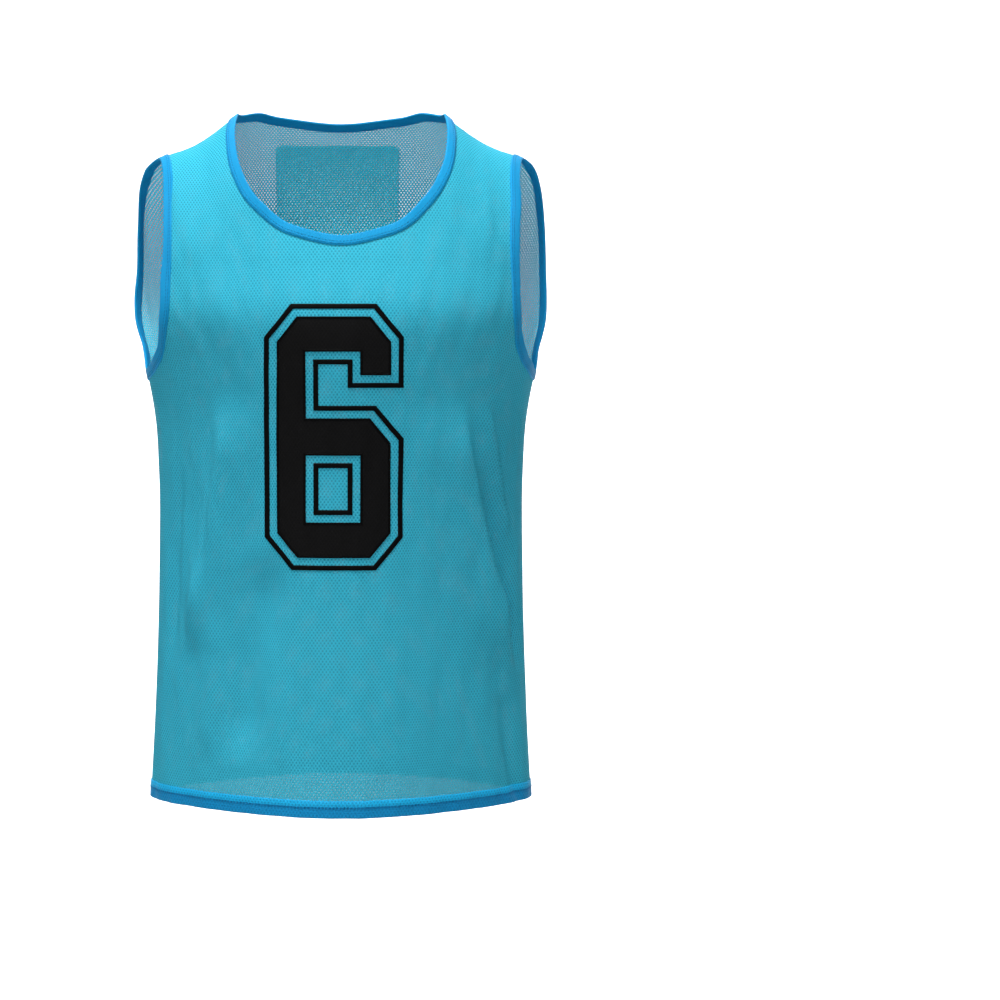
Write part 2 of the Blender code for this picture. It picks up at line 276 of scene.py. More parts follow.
# The whole neck edge: the front half, then the back half the other way
def neckPath(steps):
    front, back = neckHalf("frontNeck", 1, steps), neckHalf("backNeck", -1, steps)
    return np.append(front[0], -back[0][1:-1]), np.append(front[1], back[1][1:-1])


# The right armhole's edge: up the front from the underarm, then down the back
def armholePath(steps):
    front, back = (spread(np.radians(edges[name]["angle"]), side * edges[name]["drop"], steps)
                   for name, side in (("frontArmhole", 1), ("backArmhole", -1)))
    return tuple(np.append(up[::-1], down[1:]) for up, down in zip(front, back))


# Straight blend of two values
def mix(start, end, share):
    return start * (1 - share) + end * share


# Places of a panel: columns from the hem up to the neck, rows from one side edge to the other,
# blended between the four edges, with the side edges' pull fading inwards
def panelPlaces(side, steps, overlap):
    armSteps, neckSteps = steps["armhole"], steps["neck"]
    arm = inset(armholePath(armSteps), (math.pi / 2, 0), body["armholeWidth"] - overlap)
    neck = closedInset(neckPath(neckSteps), (0, 0), body["neckWidth"] - overlap)
    if side > 0:
        arm = [values[:armSteps + 1] for values in arm]
        neck = [values[:neckSteps + 1][::-1] for values in neck]
    else:
        arm = [values[:armSteps - 1:-1] for values in arm]
        neck = [np.append(values[neckSteps:], values[0]) for values in neck]
    hemHeight = -body["length"] + body["hemWidth"] - overlap
    heights = np.linspace(hemHeight, form(arm[0][0], arm[1][0])[2], steps["side"] + 1)[:-1]
    seam = np.full(steps["side"], math.pi / 2), side * dropAt(math.pi / 2, heights)
    shoulder = (np.linspace(arm[0][-1], neck[0][-1], steps["shoulder"] + 1)[1:], np.zeros(steps["shoulder"]))
    edge = [np.concatenate(parts) for parts in zip(seam, arm, shoulder)]
    low = np.linspace(-math.pi / 2, math.pi / 2, neckSteps + 1)
    hem = low, side * dropAt(low, hemHeight)
    u = np.linspace(0, 1, neckSteps + 1)[None, :]
    v = np.linspace(0, 1, len(edge[0]))[:, None]
    pull = 3
    angle, drop = (
        mix(hem[k], neck[k], v)
        + (1 - u) ** pull * (mirror * edge[k][:, None] - mix(hem[k][0], neck[k][0], v))
        + u ** pull * (edge[k][:, None] - mix(hem[k][-1], neck[k][-1], v))
        for k, mirror in ((0, -1), (1, 1)))
    tiny = 1e-5
    drop = np.maximum(drop, tiny) if side > 0 else np.minimum(drop, -tiny)
    return angle, drop


flatSteps = {"angles": 181, "drops": 321, "first": 1e-4, "last": 0.80}


# Flat places of the cloth, in metres: arc round the body from its middle, and arc up from the hem
def flatMap(side):
    angles = np.linspace(-math.pi / 2, math.pi / 2, flatSteps["angles"])
    drops = np.linspace(flatSteps["first"], flatSteps["last"], flatSteps["drops"])
    a, d = np.meshgrid(angles, drops, indexing="ij")
    points = form(a, side * d)
    acrossSteps, downSteps = (np.linalg.norm(np.diff(points, axis=k), axis=2) for k in (0, 1))
    around = np.append(np.zeros((1, len(drops))), np.cumsum(acrossSteps, 0), 0)
    around -= around[len(angles) // 2]
    down = np.append(np.zeros((len(angles), 1)), np.cumsum(downSteps, 1), 1)
    hem = np.array([np.interp(dropAt(angle, -body["length"]), drops, row)
                    for angle, row in zip(angles, down)])
    up = hem[:, None] - down

    def read(angle, drop):    # straight blend of the four nearest places of the map
        i = np.clip((angle - angles[0]) / (angles[1] - angles[0]), 0, len(angles) - 1.001)
        j = np.clip((np.abs(drop) - drops[0]) / (drops[1] - drops[0]), 0, len(drops) - 1.001)
        i0, j0 = i.astype(int), j.astype(int)
        s, t = i - i0, j - j0
        return [(g[i0, j0] * (1 - s) + g[i0 + 1, j0] * s) * (1 - t)
                + (g[i0, j0 + 1] * (1 - s) + g[i0 + 1, j0 + 1] * s) * t for g in (around, up)]
    return read


flat = {1: flatMap(1), -1: flatMap(-1)}
print("form and flat places ready")


sheenLook = {"roughness": 0.45, "tint": (0.75, 0.92, 1.0, 1)}


# A material with its plain values on the shader's own sockets
def newMaterial(name, baseColor, roughness, sheen=0.0, gloss=0.2):
    material = bpy.data.materials.new(name)
    material.use_nodes = True
    shader = material.node_tree.nodes["Principled BSDF"]
    shader.inputs["Base Color"].default_value = (*baseColor, 1)
    shader.inputs["Roughness"].default_value = roughness
    shader.inputs["Sheen Weight"].default_value = sheen
    shader.inputs["Specular IOR Level"].default_value = gloss
    shader.inputs["Sheen Roughness"].default_value = sheenLook["roughness"]
    shader.inputs["Sheen Tint"].default_value = sheenLook["tint"]
    return material, material.node_tree, shader


# A socket fed by another node's output, or set to a plain value
def feed(tree, socket, value):
    if isinstance(value, bpy.types.NodeSocket):
        tree.links.new(value, socket)
    else:
        socket.default_value = value


# One operation on one or two values
def mathNode(tree, operation, *values):
    node = tree.nodes.new("ShaderNodeMath")
    node.operation = operation
    for socket, value in zip(node.inputs, values):
        feed(tree, socket, value)
    return node.outputs[0]


# A value held between nothing and one
def clamped(tree, value):
    return mathNode(tree, "MAXIMUM", mathNode(tree, "MINIMUM", value, 1.0), 0.0)


# First color times what the share leaves, plus second color times the share
def mixColor(tree, share, first, second):
    node = tree.nodes.new("ShaderNodeMix")
    node.data_type = "RGBA"
    for place, value in ((0, share), (6, first), (7, second)):
        feed(tree, node.inputs[place], (*value, 1) if isinstance(value, tuple) else value)
    return node.outputs[2]


# A node group placed in a tree, its inputs given by name
def addGroup(tree, group, **values):
    node = tree.nodes.new("ShaderNodeGroup")
    node.node_tree = group
    for name, value in values.items():
        feed(tree, node.inputs[name], value)
    return node


# An empty node group with its named inputs and outputs
def newGroup(name, inputs, outputs):
    group = bpy.data.node_groups.new(name, "ShaderNodeTree")
    for label, kind, value in inputs:
        socket = group.interface.new_socket(label, in_out="INPUT", socket_type=kind)
        if value is not None:
            socket.default_value = value
    for label, kind in outputs:
        group.interface.new_socket(label, in_out="OUTPUT", socket_type=kind)
    return group, group.nodes.new("NodeGroupInput").outputs, group.nodes.new("NodeGroupOutput").inputs


# Place on the cloth, in metres, from the piece's own map
def clothPlace(tree):
    uv = tree.nodes.new("ShaderNodeUVMap")
    uv.uv_map = "cloth"
    return uv.outputs[0]


# Threads raised by a height mask
def raiseThreads(tree, shader, height, strength, distance):
    bump = tree.nodes.new("ShaderNodeBump")
    bump.inputs["Strength"].default_value = strength
    bump.inputs["Distance"].default_value = distance
    tree.links.new(height, bump.inputs["Height"])
    tree.links.new(bump.outputs[0], shader.inputs["Normal"])


# Tricot net: two interleaved lattices of oval holes; a hole is where the nearer centre is close
def netGroup(squash=1.25):
    group, given, out = newGroup(
        "tricotNet",
        [("Place", "NodeSocketVector", None), ("Across", "NodeSocketFloat", 0.0035),
         ("Along", "NodeSocketFloat", 0.005), ("Hole", "NodeSocketFloat", 0.3),
         ("Edge", "NodeSocketFloat", 0.08)],
        [("Open", "NodeSocketFloat"), ("Height", "NodeSocketFloat")])
    parts = group.nodes.new("ShaderNodeSeparateXYZ")
    group.links.new(given["Place"], parts.inputs[0])
    x = mathNode(group, "DIVIDE", parts.outputs[0], given["Across"])
    y = mathNode(group, "DIVIDE", parts.outputs[1], given["Along"])
    far = []
    for shift in (0.0, 0.5):
        fx = mathNode(group, "SUBTRACT", mathNode(group, "FRACT", mathNode(group, "ADD", x, shift)), 0.5)
        fy = mathNode(group, "SUBTRACT", mathNode(group, "FRACT", mathNode(group, "ADD", y, shift)), 0.5)
        fy = mathNode(group, "MULTIPLY", fy, squash)
        squares = mathNode(group, "MULTIPLY", fx, fx), mathNode(group, "MULTIPLY", fy, fy)
        far.append(mathNode(group, "SQRT", mathNode(group, "ADD", *squares)))
    near = mathNode(group, "MINIMUM", far[0], far[1])
    reach = mathNode(group, "DIVIDE", mathNode(group, "SUBTRACT", near, given["Hole"]), given["Edge"])
    closed = clamped(group, mathNode(group, "ADD", reach, 0.5))
    group.links.new(mathNode(group, "SUBTRACT", 1.0, closed), out["Open"])
    group.links.new(mathNode(group, "MINIMUM", mathNode(group, "MULTIPLY", near, 2.0), 1.0), out["Height"])
    return group


# Clouds of the dye, then the heather of its threads: scale, detail and weight
dyeLook = ((7.0, 3.0, 0.65), (420.0, 1.0, 0.35))


# Dye: the share of the deep shade is a weighted sum of slow clouds and fine heather
def dyeGroup():
    group, given, out = newGroup(
        "dyeShade",
        [("Base", "NodeSocketColor", None), ("Deep", "NodeSocketColor", None),
         ("Amount", "NodeSocketFloat", 0.3)],
        [("Color", "NodeSocketColor")])
    place = group.nodes.new("ShaderNodeTexCoord").outputs["Object"]
    shades = []
    for scale, detail, weight in dyeLook:
        noise = group.nodes.new("ShaderNodeTexNoise")
        noise.inputs["Scale"].default_value = scale
        noise.inputs["Detail"].default_value = detail
        group.links.new(place, noise.inputs["Vector"])
        shades.append(mathNode(group, "MULTIPLY", noise.outputs["Fac"], weight))
    share = mathNode(group, "MULTIPLY", mathNode(group, "ADD", *shades), given["Amount"])
    group.links.new(mixColor(group, share, given["Base"], given["Deep"]), out["Color"])
    return group


net, dye = netGroup(), dyeGroup()

netLook = {
    "color": (0.062, 0.540, 0.690),
    "deep": (0.006, 0.270, 0.440),
    "across": 0.0035,         # holes along a row
    "along": 0.0050,          # every second row
    "hole": 0.20,
    "open": 0.35,             # how clear a hole is, with the fibres across it
    "paintedHoleShade": 0.85,           # how far the painted shade darkens the threads towards a hole
    "bump": 0.5,
    "thread": 0.0006,
}


# Net cloth: holes by alpha, raised threads by bump, dye shade by the dye group, and painted shade darkening
# the threads towards each hole
def netMaterial(name, look):
    material, tree, shader = newMaterial(name, look["color"], roughness=0.75, gloss=0.06)
    holes = addGroup(tree, net, Place=clothPlace(tree), Across=look["across"], Along=look["along"],
                     Hole=look["hole"])
    shade = addGroup(tree, dye, Base=(*look["color"], 1), Deep=(*look["deep"], 1), Amount=0.35)
    # painted shade: the threads darkened towards the deep colour near each hole
    paintedHoleShade = mathNode(tree, "SUBTRACT", 1.0, holes.outputs["Height"])
    paintedHoleShade = mathNode(tree, "MULTIPLY", paintedHoleShade, look["paintedHoleShade"])
    tree.links.new(mixColor(tree, paintedHoleShade, shade.outputs[0], look["deep"]), shader.inputs["Base Color"])
    clear = mathNode(tree, "MULTIPLY", holes.outputs["Open"], look["open"])
    tree.links.new(mathNode(tree, "SUBTRACT", 1.0, clear), shader.inputs["Alpha"])
    raiseThreads(tree, shader, holes.outputs["Height"], look["bump"], look["thread"])
    return material


# Close knit: finer pits than the net's, never open, darkened as painted shade, with a stronger dye shade
def knitMaterial(name, look):
    material, tree, shader = newMaterial(name, look["color"], roughness=0.6, sheen=0.03, gloss=0.15)
    place = clothPlace(tree)
    holes = addGroup(tree, net, Place=place, Across=look["across"], Along=look["along"],
                     Hole=look["hole"], Edge=0.25)
    shade = addGroup(tree, dye, Base=(*look["color"], 1), Deep=(*look["deep"], 1), Amount=0.6)
    whole = shade.outputs[0]
    if "above" in look:       # paler above the stitches, where only the net is doubled
        across = tree.nodes.new("ShaderNodeSeparateXYZ")
        tree.links.new(place, across.inputs[0])
        upper = mathNode(tree, "GREATER_THAN", across.outputs[1], look["step"])
        whole = mixColor(tree, upper, whole, look["above"])
    # painted shade: the pits between threads darkened towards the deep colour
    paintedPitShade = mathNode(tree, "MULTIPLY", holes.outputs["Open"], look["pits"])
    tree.links.new(mixColor(tree, paintedPitShade, whole, look["deep"]), shader.inputs["Base Color"])
    raiseThreads(tree, shader, holes.outputs["Height"], strength=0.5, distance=0.0005)
    return material


# Pressed-on film: near black, the net's threads showing faintly through, as bumps and as painted shade in the
# pits between them
def filmMaterial(name, look):
    material, tree, shader = newMaterial(name, look["color"], roughness=0.6, gloss=0.06)
    holes = addGroup(tree, net, Place=clothPlace(tree), Across=netLook["across"], Along=netLook["along"],
                     Hole=0.3, Edge=0.35)
    # painted shade: the pits between the net's threads darkened towards the deep colour
    paintedPitShade = mathNode(tree, "MULTIPLY", holes.outputs["Open"], 0.6)
    tree.links.new(mixColor(tree, paintedPitShade, look["color"], look["deep"]), shader.inputs["Base Color"])
    raiseThreads(tree, shader, holes.outputs["Height"], strength=0.25, distance=0.0003)
    return material


materials = {
    "net": netMaterial("net", netLook),
    # The back panel's net: the same cloth painted paler than the front's, painted light for the light shining
    # through it from behind
    "backNetPaintedLight": netMaterial("backNetPaintedLight", dict(
        netLook, color=(0.050, 0.800, 0.960), deep=(0.008, 0.430, 0.660), hole=0.23, open=0.62)),
    # The patch: the same net painted paler still, painted light for the sheen of the doubled net inside the
    # back
    "patch": netMaterial("patch", dict(
        netLook, color=(0.070, 0.880, 1.000), deep=(0.020, 0.600, 0.800), hole=0.22, open=0.72)),
    "binding": knitMaterial("binding", {
        "color": (0.004, 0.370, 0.720), "deep": (0.001, 0.210, 0.480),
        "across": 0.0014, "along": 0.0020, "hole": 0.22, "pits": 0.8}),
    "hem": knitMaterial("hem", {
        "color": (0.004, 0.300, 0.640), "deep": (0.001, 0.170, 0.400), "above": (0.008, 0.400, 0.720),
        "step": 0.0308,       # the upper stitches' place on the tape's shifted upper side
        "across": 0.0035, "along": 0.0050, "hole": 0.2, "pits": 0.9}),
    "seam": knitMaterial("seam", {
        "color": (0.004, 0.330, 0.660), "deep": (0.001, 0.180, 0.420),
        "across": 0.0035, "along": 0.0050, "hole": 0.2, "pits": 0.9}),
    "thread": knitMaterial("thread", {
        "color": (0.002, 0.200, 0.450), "deep": (0.001, 0.110, 0.280),
        "across": 0.0008, "along": 0.0008, "hole": 0.2, "pits": 0.5}),
    "film": filmMaterial("film", {"color": (0.0060, 0.0060, 0.0064), "deep": (0.0025, 0.0025, 0.0027)}),
    "filmEdge": filmMaterial("filmEdge", {
        "color": (0.0012, 0.0012, 0.0014), "deep": (0.0008, 0.0008, 0.0008)}),
}
print("materials ready")


# An object of the scene for a mesh, a lamp or a camera
def addObject(name, data):
    item = bpy.data.objects.new(name, data)
    bpy.context.scene.collection.objects.link(item)
    return item


# A mesh from arrays of points, faces and map places, on the root body, with its material
def addMesh(name, points, faces, uv, material):
    mesh = bpy.data.meshes.new(name)
    mesh.vertices.add(len(points))
    mesh.vertices.foreach_set("co", np.asarray(points, np.float32).ravel())
    faces = np.asarray(faces)
    mesh.loops.add(faces.size)
    mesh.loops.foreach_set("vertex_index", faces.ravel().astype(np.int32))
    mesh.polygons.add(len(faces))
    mesh.polygons.foreach_set("loop_start", np.arange(0, faces.size, faces.shape[1], dtype=np.int32))
    mesh.update(calc_edges=True)
    layer = mesh.uv_layers.new(name="cloth")
    layer.uv.foreach_set("vector", np.asarray(uv, np.float32)[faces.ravel()].ravel())
    mesh.validate()
    mesh.shade_smooth()
    mesh.materials.append(material)
    piece = addObject(name, mesh)
    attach(piece, "root")
    return piece


# Quads between neighbours of a grid of points numbered by rows, closed either way if asked
def gridFaces(rows, columns, closeColumns=False, closeRows=False):
    index = np.arange(rows * columns).reshape(rows, columns)
    if closeColumns:
        index = np.append(index, index[:, :1], 1)
    if closeRows:
        index = np.append(index, index[:1], 0)
    return np.stack([index[:-1, :-1], index[:-1, 1:], index[1:, 1:], index[1:, :-1]], -1).reshape(-1, 4)


# A thin wall, half of it on each side of the sheet
def addWall(piece, thickness):
    shell = piece.modifiers.new("wall", "SOLIDIFY")
    shell.thickness, shell.offset = thickness, 0
    return piece


# A sheet of net: the form over a fine grid, then a thin wall
def netSheet(name, angle, drop, side, lift, material, slot, wall):
    points = form(angle, drop) + outward(angle, drop) * lift
    uv = np.stack(flat[side](angle, drop), -1).reshape(-1, 2)
    faces = gridFaces(*angle.shape)
    if side < 0:
        faces = faces[:, ::-1]
    piece = addMesh(name, points.reshape(-1, 3), faces, uv, material)
    return addWall(piece, wall)


panelLook = {
    "steps": {"neck": 132, "armhole": 60, "side": 110, "shoulder": 26},
    "overlap": 0.004,         # the panel's edge runs this far into its bindings
    "wall": 0.00025,
}

for label, side, cloth in (("front_panel", 1, "net"), ("back_panel", -1, "backNetPaintedLight")):
    places = panelPlaces(side, panelLook["steps"], panelLook["overlap"])
    netSheet(label + "_net", *places, side, 0, materials[cloth], "net", panelLook["wall"])
    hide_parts(label)
print("panels ready")


tapeLook = {
    "half": 0.0013,           # half the folded tape's thickness
    "extra": 0.0015,          # it covers the panel's edge by this much more
    "edgePoints": 7, "topPoints": 4, "crown": 0.10, "flatEnd": 0.0004,
    "neckSteps": 130, "armholeSteps": 90, "hemColumns": 220,
    "ripple": 0.06, "ripplePitch": 0.0035,
    "upperShift": 0.02,       # moves the upper side's place in the map
}


# A round-edged tape folded over the cloth's edge: (across, rise) round the profile
def tapeProfile(width, half):
    turn = np.linspace(math.pi / 2, math.pi * 1.5, tapeLook["edgePoints"])
    edge = np.stack([half + half * np.cos(turn), half * np.sin(turn)], -1)
    across = np.linspace(half * 2, width - tapeLook["flatEnd"], tapeLook["topPoints"])
    crown = half * (1 + tapeLook["crown"] * np.sin(np.pi * (across - across[0]) / (across[-1] - across[0])))
    top = np.stack([across, crown], -1)[::-1]
    low = np.stack([across, -crown], -1)
    tail = np.array([[width, -half * 0.5], [width, half * 0.5]])
    return np.concatenate([edge, low, tail, top])


# Profile carried along a path on the cloth: at each station a point moved across and out
def tape(name, mover, count, width, half, material, ripple):
    rails, uvs = [], []
    for across, rise in tapeProfile(width, half):
        angle, drop = mover(across)
        points = form(angle, drop)
        length = lengthsAlong(points)
        wave = 1 + ripple * np.sin(length / tapeLook["ripplePitch"] * math.pi) * np.clip(across / width, 0, 1)
        rails.append((points + outward(angle, drop) * (rise * wave)[:, None])[:count])
        upper = (rise > 0) * tapeLook["upperShift"]
        uvs.append(np.stack([length[:count], np.full(count, across + upper)], -1))
    rails, uvs = np.array(rails), np.array(uvs)
    faces = gridFaces(rails.shape[0], count, True, True)
    piece = addMesh(name, rails.reshape(-1, 3), faces, uvs.reshape(-1, 2), material)
    faceOutward(piece)
    return piece


# Turns a closed mesh the right way out, by the sign of its volume
def faceOutward(piece):
    mesh = piece.data
    mesh.calc_loop_triangles()
    points = np.empty(len(mesh.vertices) * 3, np.float32)
    mesh.vertices.foreach_get("co", points)
    corners = np.empty(len(mesh.loop_triangles) * 3, np.int32)
    mesh.loop_triangles.foreach_get("vertices", corners)
    a, b, c = points.reshape(-1, 3)[corners.reshape(-1, 3)].transpose(1, 0, 2)
    if (a * np.cross(b, c)).sum() < 0:
        mesh.flip_normals()


neckLine = neckPath(tapeLook["neckSteps"])
armLine = armholePath(tapeLook["armholeSteps"])


# The neck's edge moved in by a distance
def neckMover(across):
    return closedInset(neckLine, (0, 0), across)


# The same for an armhole, its angles mirrored for the left one
def armMover(mirror):
    def move(across):
        angle, drop = inset(armLine, (math.pi / 2, 0), across)
        return mirror * angle, drop
    return move


# The hem's places: all round at one height, the front first
def hemMover(across):
    half = np.linspace(-math.pi / 2, math.pi / 2, tapeLook["hemColumns"] + 1)
    angle = np.append(half, half[-2:0:-1])
    side = np.append(np.ones(len(half)), -np.ones(len(half) - 2))
    return angle, side * dropAt(angle, -body["length"] + across)


# Each trim's edge, its number of stations, width and half thickness
thick, armCount = tapeLook["half"], len(armLine[0]) - 1
neckWide, armWide = (body[name] + tapeLook["extra"] for name in ("neckWidth", "armholeWidth"))
for node, mover, count, width, half, cloth in (
        ("neck_binding", neckMover, len(neckLine[0]), neckWide, thick, "binding"),
        ("armhole_binding_right", armMover(1), armCount, armWide, thick, "binding"),
        ("armhole_binding_left", armMover(-1), armCount, armWide, thick, "binding"),
        ("hem_band", hemMover, tapeLook["hemColumns"] * 2, body["hemWidth"], thick * 0.8, "hem")):
    ending, ripple = ("_fold", 0) if cloth == "hem" else ("_tape", tapeLook["ripple"])
    tape(node + ending, mover, count, width, half, materials[cloth], ripple)
    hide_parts(node)
print("trims ready")


stitchLook = {
    "length": 0.0026, "gap": 0.0008, "thick": 0.00035,
    "stations": 4, "sides": 6,
    "endThick": 0.35,         # share of the thickness at a stitch's ends
    "askew": (0.31, 0.52, 0.79),
    "bindingRows": (("edge", 0.0066), ("seam", 0.0088)), "bindingLift": 1.08,
    "hemRows": (("low", 0.0096), ("high", 0.0108)), "hemLift": 0.95,
}


# A row of stitches: short spindles along a path, each a tube whose radius is a half sine
def stitchRow(name, angle, drop, lift, closed):
    points = form(angle, drop) + outward(angle, drop) * lift
    if closed:
        points = np.append(points, points[:1], 0)
    length = lengthsAlong(points)
    pitch = stitchLook["length"] + stitchLook["gap"]
    count = int(length[-1] / pitch)
    starts = np.arange(count)[:, None] * pitch
    share = np.linspace(0, 1, stitchLook["stations"])[None, :]
    at = (starts + share * stitchLook["length"]).ravel()
    centre = np.stack([np.interp(at, length, points[:, k]) for k in range(3)], -1)
    ahead = np.stack([np.interp(at + 1e-4, length, points[:, k]) for k in range(3)], -1)
    along = ahead - centre + 1e-9
    along /= np.linalg.norm(along, axis=1, keepdims=True)
    across = np.cross(along, stitchLook["askew"])
    across /= np.linalg.norm(across, axis=1, keepdims=True)
    other = np.cross(along, across)
    bulge = np.sin(math.pi * np.tile(share.ravel(), count))
    radius = stitchLook["thick"] * mix(stitchLook["endThick"], 1, bulge)
    turn = np.linspace(0, 2 * math.pi, stitchLook["sides"], endpoint=False)
    spokes = across[:, None] * np.cos(turn)[None, :, None] + other[:, None] * np.sin(turn)[None, :, None]
    tubes = centre[:, None] + spokes * radius[:, None, None]
    ring, rings = stitchLook["sides"], share.size
    one = gridFaces(rings, ring, True)
    base = (np.arange(count) * rings * ring)[:, None, None]
    sides = (one[None] + base).reshape(-1, 4)
    caps = []
    for first, flip in ((0, -1), ((rings - 1) * ring, 1)):
        for k in range(1, ring - 1, 2):
            corner = np.array([0, k, k + 1, min(k + 2, ring - 1)])[::flip] + first
            caps.append((corner[None] + base[:, 0]).reshape(-1, 4))
    faces = np.concatenate([sides] + caps)
    uv = np.repeat(np.stack([at, at * 0], -1), ring, 0)
    return addMesh(name, tubes.reshape(-1, 3), faces, uv, materials["thread"])


lift = tapeLook["half"] * stitchLook["bindingLift"]
for where, across in stitchLook["bindingRows"]:
    stitchRow("neck_stitches_" + where, *neckMover(across), lift, True)
    for mirror, hand in ((1, "right"), (-1, "left")):
        stitchRow("armhole_stitches_%s_%s" % (hand, where), *armMover(mirror)(across), lift, False)
lift = tapeLook["half"] * stitchLook["hemLift"]
for where, across in stitchLook["hemRows"]:
    stitchRow("hem_stitches_" + where, *hemMover(across), lift, True)
print("stitches ready")


# Seam allowances: narrow folded strips of net inside the shoulder and side seams
seamLook = {
    "width": 0.008, "lift": -0.0011, "wall": 0.0006,
    "sideDepth": 0.11,        # turns the width into an angle
    "backEdge": -0.002, "frontEdge": 0.016,
    "shoulderSteps": (9, 40), "sideSteps": (5, 90),
}


# From the neck to the armhole along the shoulder line, a little over to the back and down the front
def shoulderStrip(mirror):
    neckEnd = closedInset(neckLine, (0, 0), body["neckWidth"])[0][0]
    armEnd = inset(armLine, (math.pi / 2, 0), body["armholeWidth"])[0][tapeLook["armholeSteps"]]
    rows, columns = seamLook["shoulderSteps"]
    angle = np.linspace(neckEnd, armEnd, columns)[None, :] + np.zeros((rows, 1))
    drop = np.linspace(seamLook["backEdge"], seamLook["frontEdge"], rows)[:, None] + np.zeros((1, columns))
    return mirror * angle[:, ::mirror], drop


# From the hem band to the underarm, its width turned into an angle before the side seam
def sideStrip(mirror):
    top = form(*[values[0] for values in inset(armLine, (math.pi / 2, 0), body["armholeWidth"])])[2]
    rows, columns = seamLook["sideSteps"]
    heights = np.linspace(-body["length"] + body["hemWidth"], top, columns)
    reach = seamLook["width"] / seamLook["sideDepth"]
    angle = np.linspace(math.pi / 2 - reach, math.pi / 2, rows)[:, None] + np.zeros((1, columns))
    drop = dropAt(angle, heights[None, :])
    return mirror * angle, drop


for mirror, hand in ((1, "right"), (-1, "left")):
    for kind, places in (("shoulder", shoulderStrip(mirror)), ("side", sideStrip(mirror))):
        netSheet("%s_seam_%s" % (kind, hand), *places, 1, seamLook["lift"],
                 materials["seam"], "hem", seamLook["wall"])
print("seams ready")


# The patch inside the back: a rounded rectangle of net on the panel's inner side
patchLook = {"middle": -0.0035, "halfWidth": 0.0635, "top": -0.024, "bottom": -0.152, "corner": 0.006,
             "lift": -0.0012, "steps": 48}


# Angle of a place at a given x and height: the sideways share turned back, by repeated halving
def angleAt(x, height, halvings=30):
    width, squareness = section(height, "halfWidth"), section(height, "squareness")
    low, high = np.full(x.shape, -math.pi / 2), np.full(x.shape, math.pi / 2)
    for _ in range(halvings):
        middle = (low + high) / 2
        under = width * sideways(middle, squareness) < x
        low, high = np.where(under, middle, low), np.where(under, high, middle)
    return (low + high) / 2


# Drop of a height anywhere, also on the roll over the shoulder
def dropOf(angle, height):
    fall = lineHeight(angle) - height
    roll = body["shoulderRoll"]
    return np.where(fall < roll, roll * np.arccos(np.clip(1 - fall / roll, -1, 1)),
                    fall + roll * (math.pi / 2 - 1))


# Rows from the patch's lower edge to its top, each shortened near the ends by the corner's quarter circle
def backPatch(look):
    u = np.linspace(-1, 1, look["steps"] + 1)[None, :]
    v = np.linspace(0, 1, look["steps"] + 1)[:, None]
    height = look["bottom"] + (look["top"] - look["bottom"]) * v + 0 * u
    toEdge = np.minimum(v, 1 - v) * (look["top"] - look["bottom"])
    short = np.maximum(look["corner"] - toEdge, 0)
    cut = look["corner"] - np.sqrt(np.maximum(look["corner"] ** 2 - short ** 2, 0))
    x = look["middle"] + u * (look["halfWidth"] - cut)
    angle = angleAt(x, height)
    return netSheet("inner_back_patch_net", angle, -dropOf(angle, height), -1, look["lift"],
                    materials["patch"], "patch", panelLook["wall"])


patch = backPatch(patchLook)
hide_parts("inner_back_patch")
print("patch ready")


# The number, in millimetres from its middle: a block figure with cut corners, and its lower counter
numberLook = {
    "centre": (-0.0069, -0.3178),
    "halfWide": 53.8, "halfHigh": 114.4,
    "cutWide": 19.3, "cutHigh": 23.5,
    "stem": 27.4, "bar": 32.9, "terminal": 28.8,
    "terminalEnd": 59.4, "notchLow": 18.7,
    "counterTop": -16.6, "counterLow": -80.5,
    "gap": 7.2, "line": 4.7, "edge": 2.2,
    "cell": 1.5, "margin": 3, "passes": 3, "probe": 0.02, "catch": 0.62, "inside": -0.05,
    "sideSteps": 24, "bandSteps": 4,
    "lift": 0.00055, "wall": 0.0003,      # in metres
}


# Corners of the figure, clockwise from its top left, from the sizes above
def numberOutline(k):
    w, h, cw, ch = k["halfWide"], k["halfHigh"], k["cutWide"], k["cutHigh"]
    inner, outer = -w + k["stem"], w - k["terminal"]
    return np.array([
        (-w + cw, h), (w - cw, h), (w, h - ch), (w, k["terminalEnd"]), (outer, k["terminalEnd"]),
        (outer, h - k["bar"]), (inner, h - k["bar"]), (inner, k["notchLow"]), (w - cw, k["notchLow"]),
        (w, k["notchLow"] - ch), (w, -h + ch), (w - cw, -h), (-w + cw, -h), (-w, -h + ch), (-w, h - ch)])


# Corners of its lower counter, between the stem and the right side
def numberCounter(k):
    left, right = -k["halfWide"] + k["stem"], k["halfWide"] - k["terminal"]
    return np.array([(left, k["counterTop"]), (right, k["counterTop"]),
                     (right, k["counterLow"]), (left, k["counterLow"])])


# A polygon grown by a distance, its corners mitred: each corner moves along the sum of its sides' normals
def grown(polygon, distance):
    ahead = np.roll(polygon, -1, 0) - polygon
    ahead /= np.linalg.norm(ahead, axis=1, keepdims=True)
    normal = np.stack([-ahead[:, 1], ahead[:, 0]], -1)
    before = np.roll(normal, 1, 0)
    mitre = (normal + before) / (1 + (normal * before).sum(1, keepdims=True))
    return polygon + mitre * distance


